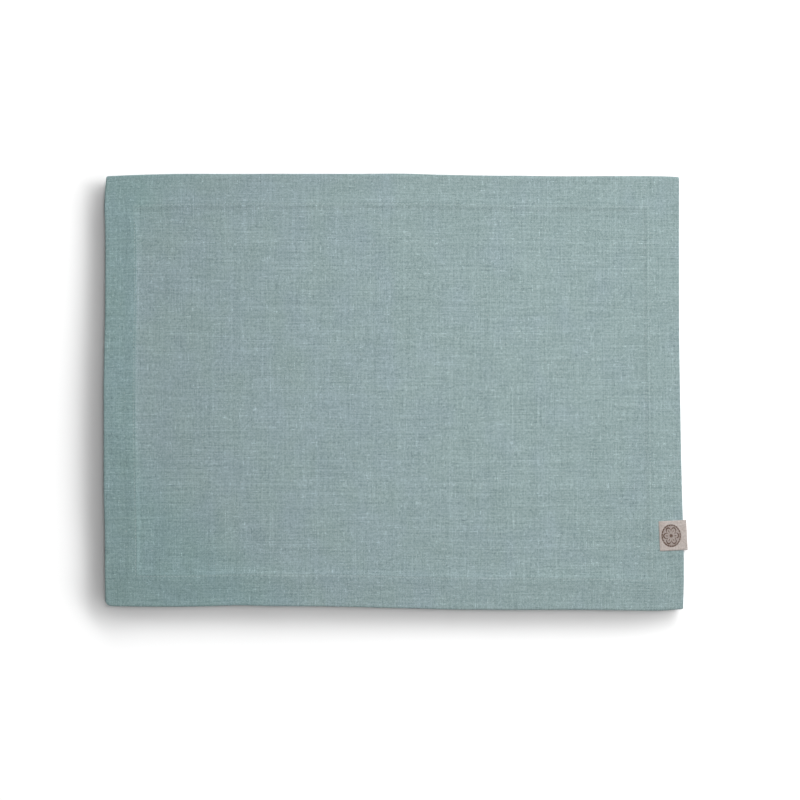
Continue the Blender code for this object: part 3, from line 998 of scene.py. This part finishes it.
def tape_finish():
    """Fine cotton tape in a pinkish beige, with a worn brown stamp on its face."""
    finish = Finish("label_tape")
    flat = finish.node("ShaderNodeUVMap", {"uv_map": "tape"}).outputs["UV"]
    split = finish.node("ShaderNodeSeparateXYZ", Vector=flat)
    x, y = split.outputs["X"], split.outputs["Y"]
    along_x = finish.times(x, 1.0 / TAPE_PITCH)
    along_y = finish.times(y, 1.0 / TAPE_PITCH)
    warp = finish.threads(along_x, TAPE_UNEVEN)
    weft = finish.threads(along_y, TAPE_UNEVEN)
    relief, on_top = finish.plain_weave(along_x, along_y, warp, weft)
    own = finish.mix(on_top, weft[1], warp[1])
    spots = finish.noise(flat, TAPE_SPOTS, detail=2.0)
    shade = finish.add(finish.times(own, TAPE_OWN_SHADE), finish.times(spots, TAPE_SPOT_SHADE))
    patches = finish.times(finish.noise(flat, TAPE_PATCHES, detail=1.0), TAPE_PATCH_SHARE)
    tint = finish.add(patches, shade, TAPE_TINT)
    # painted shade in the gaps between the threads
    depth = finish.math("MULTIPLY_ADD", relief, TAPE_GAP_PAINTED_SHADE, TAPE_GAP_PAINTED_SHADE_LEVEL)
    # painted shade darkens the sewn end, next to its stitches
    sewn_end_painted_shade = finish.math("MULTIPLY_ADD", finish.ramp(x, SEWN_END_SHADE_LENGTH, 0.0), -SEWN_END_PAINTED_SHADE, 1.0)
    light = finish.times(finish.add(shade, 1.0), depth, sewn_end_painted_shade)
    colour = finish.brighten(finish.blend(tint, TAPE_DEEP, TAPE_PALE), light)

    # the stamp takes well on the raised threads and has worn off in spots, most of all towards the fold
    stamp = rosette(finish, finish.add(x, STAMP_ASIDE - LABEL_REACH / 2), y)
    wear = finish.noise(flat, INK_WEARS, detail=2.0, roughness=INK_WEAR_ROUGHNESS)
    worn = finish.ramp(finish.add(wear, finish.times(relief, INK_ON_RELIEF)), *INK_WORN_RANGE)
    rubbed = finish.math("MULTIPLY_ADD", finish.ramp(x, LABEL_REACH, 0.0), 1.0 - INK_AT_FOLD, INK_AT_FOLD)
    colour = finish.blend(finish.times(stamp, worn, rubbed), colour, STAMP_BROWN)
    finish.bump(relief, TAPE_BUMP, TAPE_BUMP_RISE)
    finish.surface(colour, roughness=0.85, specular=0.25, sheen=0.08)
    return finish.material


# Sewing threads: the deeper and the paler colour of each
LINEN_THREAD = ((0.50, 0.62, 0.62, 1.0), (0.64, 0.75, 0.75, 1.0))
TAPE_THREAD = ((0.56, 0.48, 0.45, 1.0), (0.72, 0.64, 0.60, 1.0))
THREAD_SPOTS = 1800.0  # to the metre
THREAD_TINT = 0.5
THREAD_TINT_SPREAD = 1.2
PLY_LENGTH = 0.45 * MM
PLY_BUMP = 0.6
PLY_RISE = 0.05 * MM


def thread_finish(name, deep, pale):
    """Sewing thread: two plies twisted together."""
    finish = Finish(name)
    place = finish.node("ShaderNodeTexCoord").outputs["Object"]
    shade = finish.noise(place, THREAD_SPOTS, detail=1.0)
    tint = finish.math("MULTIPLY_ADD", shade, THREAD_TINT_SPREAD, THREAD_TINT)
    split = finish.node("ShaderNodeSeparateXYZ", Vector=place)
    twist = finish.times(finish.add(split.outputs["X"], split.outputs["Y"]), math.tau / PLY_LENGTH)
    finish.bump(finish.math("SINE", twist), PLY_BUMP, PLY_RISE)
    finish.surface(finish.blend(tint, deep, pale), roughness=0.7, specular=0.3)
    return finish.material


# ---------------------------------------------------------------- studio

WHITE = (1.0, 1.0, 1.0, 1.0)
BLACK = (0.0, 0.0, 0.0, 1.0)

# Even light from all round
FILL_COLOUR = (0.93, 1.0, 1.0, 1.0)
FILL_STRENGTH = 0.10

# Soft light from the upper right. The pieces take more of it than the floor.
WINDOW_PLACE = (2.2, 42.0, 45.0)  # distance, elevation, and azimuth from +X towards +Y
WINDOW_SIZE = (1.2, 1.4)
WINDOW_WATTS = 12.5
WINDOW_EXTRA_WATTS = 9.1
WINDOW_COLOUR = (0.95, 1.0, 1.0)

# Warmer light from above the right half, on the pieces alone
OVERHEAD_PLACE = (0.16, 0.085, 0.90)
OVERHEAD_SIZE = (0.4, 0.4)
OVERHEAD_WATTS = 5.1
OVERHEAD_COLOUR = (1.0, 0.957, 0.925)

# Low, broad light on the floor alone
LOW_LIGHTS = ((38.0, 9400.0), (-32.0, 1550.0), (108.0, 1100.0))  # azimuth and watts
LOW_DISTANCE = 6.0
LOW_ELEVATION = 5.65
LOW_SIZE = (27.0, 0.64)
LOW_COLOUR = (0.94, 1.0, 1.0)

# The surface, and the white beyond it
FLOOR_SIZE = 6.0
FLOOR_COLOUR = (0.92, 0.865, 0.865, 1.0)
GLOW_RANGE = (0.48, 1.0)  # from the middle, where the floor's glow starts and where it is full
BACKDROP_RADIUS = 9.0
BACKDROP_GLOW = 1.02


def add_camera():
    """Straight above the photograph's middle, far enough away to look nearly flat."""
    data = bpy.data.cameras.new("camera")
    data.lens = data.sensor_width * CAMERA_HEIGHT / (FRAME_PX * PIXEL)
    camera = bpy.data.objects.new("camera", data)
    middle_px = (FRAME_PX - 1) / 2
    aside = (middle_px - MAT_MIDDLE_PX[0]) * PIXEL + MAT_SHIFT.x
    away = (MAT_MIDDLE_PX[1] - middle_px) * PIXEL + MAT_SHIFT.y
    camera.location = (aside, away, CAMERA_HEIGHT + CLOTH_TOP)
    bpy.context.scene.collection.objects.link(camera)
    bpy.context.scene.camera = camera


def add_floor():
    """A plain white surface, which glows away from the mat so that it stays white in low views."""
    shape = bmesh.new()
    bmesh.ops.create_grid(shape, x_segments=1, y_segments=1, size=FLOOR_SIZE)
    floor = finished("floor", shape)
    finish = Finish("white surface")
    place = finish.node("ShaderNodeTexCoord").outputs["Object"]
    away = finish.node("ShaderNodeVectorMath", {"operation": "LENGTH"}, Vector=place).outputs["Value"]
    finish.surface(FLOOR_COLOUR, roughness=0.9, specular=0.1)
    finish.glow(finish.times(finish.ramp(away, *GLOW_RANGE), BACKDROP_GLOW))
    floor.data.materials.append(finish.material)
    return floor


def add_backdrop():
    """A plain white surround beyond the floor, which only the camera sees: it sheds no light."""
    shape = bmesh.new()
    bmesh.ops.create_uvsphere(shape, u_segments=32, v_segments=16, radius=BACKDROP_RADIUS)
    backdrop = finished("backdrop", shape)
    finish = Finish("white surround")
    finish.surface(BLACK, roughness=0.5, specular=0.0)
    finish.glow(BACKDROP_GLOW)
    backdrop.data.materials.append(finish.material)
    backdrop.visible_diffuse = backdrop.visible_glossy = backdrop.visible_transmission = False
    backdrop.visible_volume_scatter = backdrop.visible_shadow = False


def add_light(name, place, target, size, watts, colour, receivers=()):
    """A flat soft light that faces a point. Where receivers are given, it lights those alone."""
    data = bpy.data.lights.new(name, "AREA")
    data.shape = "RECTANGLE"
    data.size, data.size_y = size
    data.energy = watts
    data.color = colour
    lamp = bpy.data.objects.new(name, data)
    lamp.location = place
    lamp.rotation_mode = "QUATERNION"
    lamp.rotation_quaternion = (Vector(target) - Vector(place)).to_track_quat("-Z", "Y")
    lamp.visible_camera = False
    bpy.context.scene.collection.objects.link(lamp)
    if receivers:
        lit = bpy.data.collections.new(name + " receivers")
        for piece in receivers:
            lit.objects.link(piece)
        lamp.light_linking.receiver_collection = lit


def toward_light(distance, elevation, azimuth):
    """A place that far from the middle, at an elevation and an azimuth in degrees."""
    up, around = math.radians(elevation), math.radians(azimuth)
    flat = distance * math.cos(up)
    return Vector((flat * math.cos(around), flat * math.sin(around), distance * math.sin(up)))


def add_studio(floor, pieces):
    """Soft light from the upper right, an even fill, and low lights that draw the floor's soft shadow."""
    scene = bpy.context.scene
    scene.view_settings.view_transform = "Standard"
    world = bpy.data.worlds.new("studio")
    world.use_nodes = True
    fill = world.node_tree.nodes["Background"]
    fill.inputs["Color"].default_value = FILL_COLOUR
    fill.inputs["Strength"].default_value = FILL_STRENGTH
    scene.world = world
    window = toward_light(*WINDOW_PLACE)
    middle = (0.0, 0.0, 0.0)
    add_light("window", window, middle, WINDOW_SIZE, WINDOW_WATTS, WINDOW_COLOUR)
    add_light("window on pieces", window, middle, WINDOW_SIZE, WINDOW_EXTRA_WATTS, WINDOW_COLOUR, pieces)
    below = (*OVERHEAD_PLACE[:2], 0.0)
    add_light("overhead", OVERHEAD_PLACE, below, OVERHEAD_SIZE, OVERHEAD_WATTS, OVERHEAD_COLOUR, pieces)
    for azimuth, watts in LOW_LIGHTS:
        low = toward_light(LOW_DISTANCE, LOW_ELEVATION, azimuth)
        add_light("low sweep", low, (0.0, 0.0, low.z), LOW_SIZE, watts, LOW_COLOUR, [floor])


# ---------------------------------------------------------------- assembly

random.seed(27)
cloth = dressed(build_cloth(), "mat", linen_finish())
linen_thread = thread_finish("linen_thread", *LINEN_THREAD)
hem_stitches = dressed(build_hem_stitches(), "mat", linen_thread)
label = dressed(build_label(), "label", tape_finish())
tape_thread = thread_finish("tape_thread", *TAPE_THREAD)
label_stitches = dressed(build_label_stitches(), "label", tape_thread)

floor = add_floor()
add_backdrop()
add_camera()
add_studio(floor, [cloth, hem_stitches, label, label_stitches])
